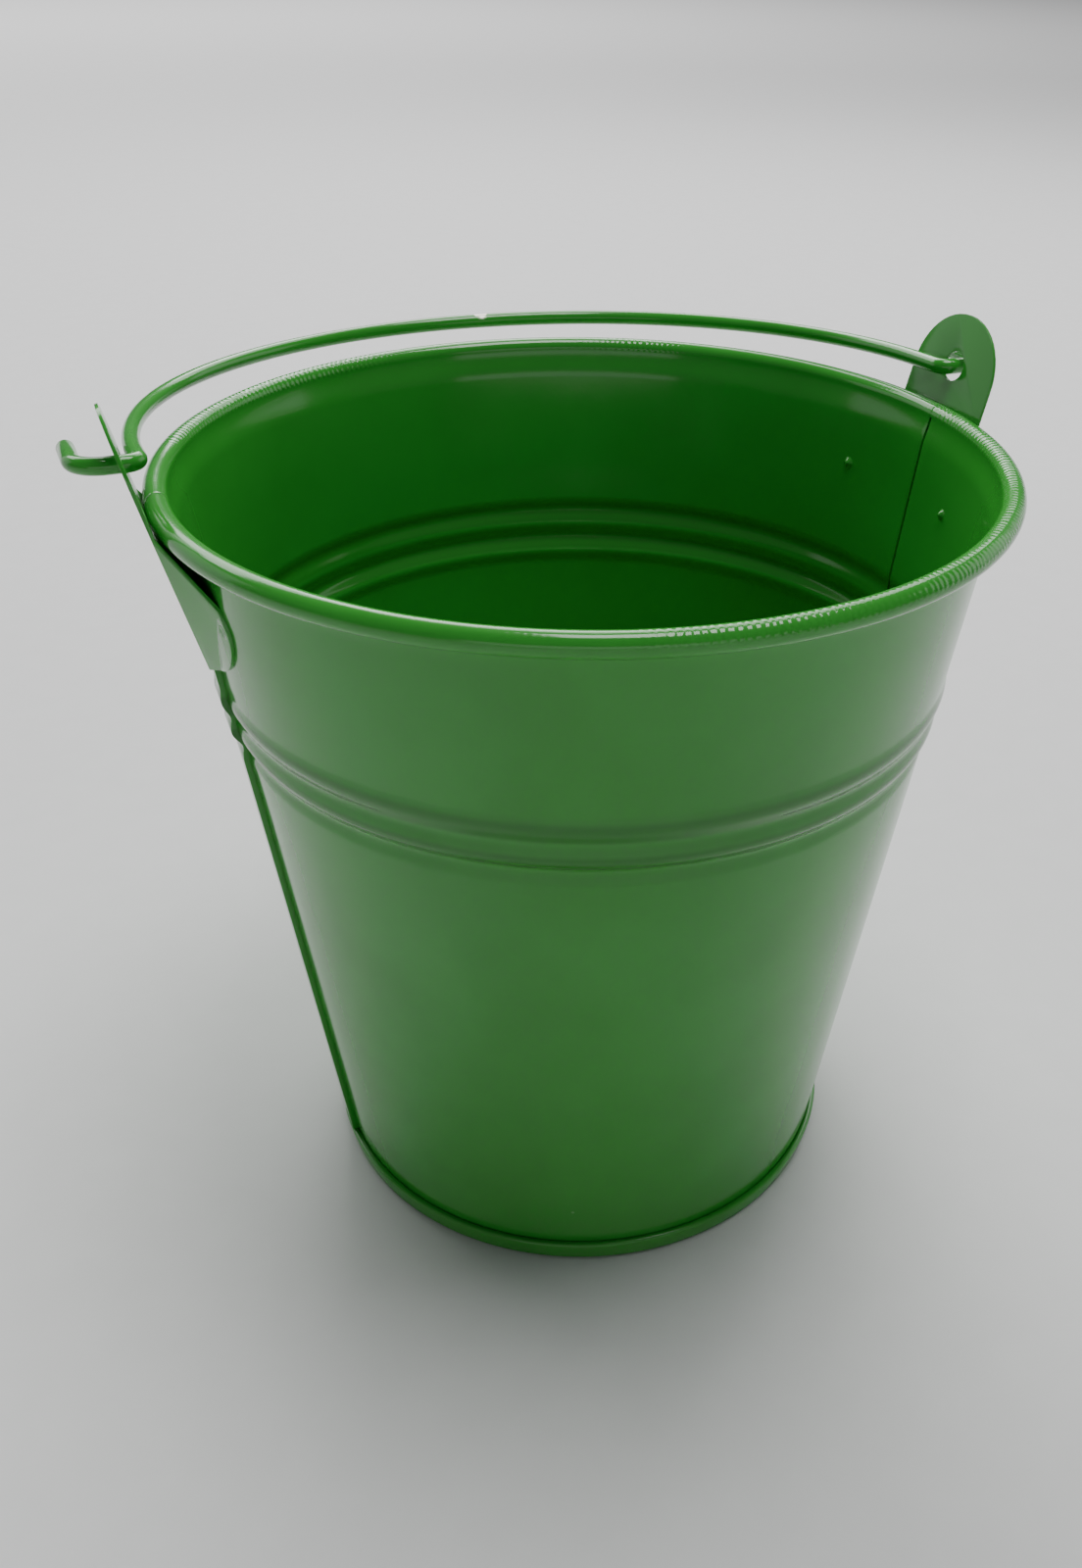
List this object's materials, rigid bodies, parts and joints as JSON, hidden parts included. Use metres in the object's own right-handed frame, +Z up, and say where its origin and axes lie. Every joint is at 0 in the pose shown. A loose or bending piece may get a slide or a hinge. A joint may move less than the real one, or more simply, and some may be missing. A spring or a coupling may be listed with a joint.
{
  "type": "bucket",
  "caption": "Small tapered sheet-steel florist bucket with a rolled rim, a band of beads under it, pressed ears and a swinging wire bail.",
  "frame": {"origin": "on the bucket's axis, in the plane of its foot", "axes": "+Z up along the bucket's axis, +X through the middle of the right ear and 1.5 degrees off the bail's hinge line, +Y towards the side the bail lies on at rest"},
  "size_m": [0.1518, 0.1395, 0.1396],
  "materials": {
    "coated_sheet": "glossy green enamel over thin sheet steel",
    "coated_wire": "glossy green enamel over steel wire, chipped at one small spot"
  },
  "bodies": {
    "bucket": {"wall_front": "coated_sheet", "wall_rear": "coated_sheet", "base_disc": "coated_sheet", "ear_right": "coated_sheet", "ear_left": "coated_sheet", "ear_welds": "coated_sheet"},
    "handle": {"bail": "coated_wire"}
  },
  "joints": [
    {"name": "bail_swing", "type": "hinge", "parent": "bucket", "child": "handle", "pos_m": [0, 0.00178, 0.1312], "axis": [0.9997, -0.0262, 0], "range_deg": [-12, 190]}
  ]
}
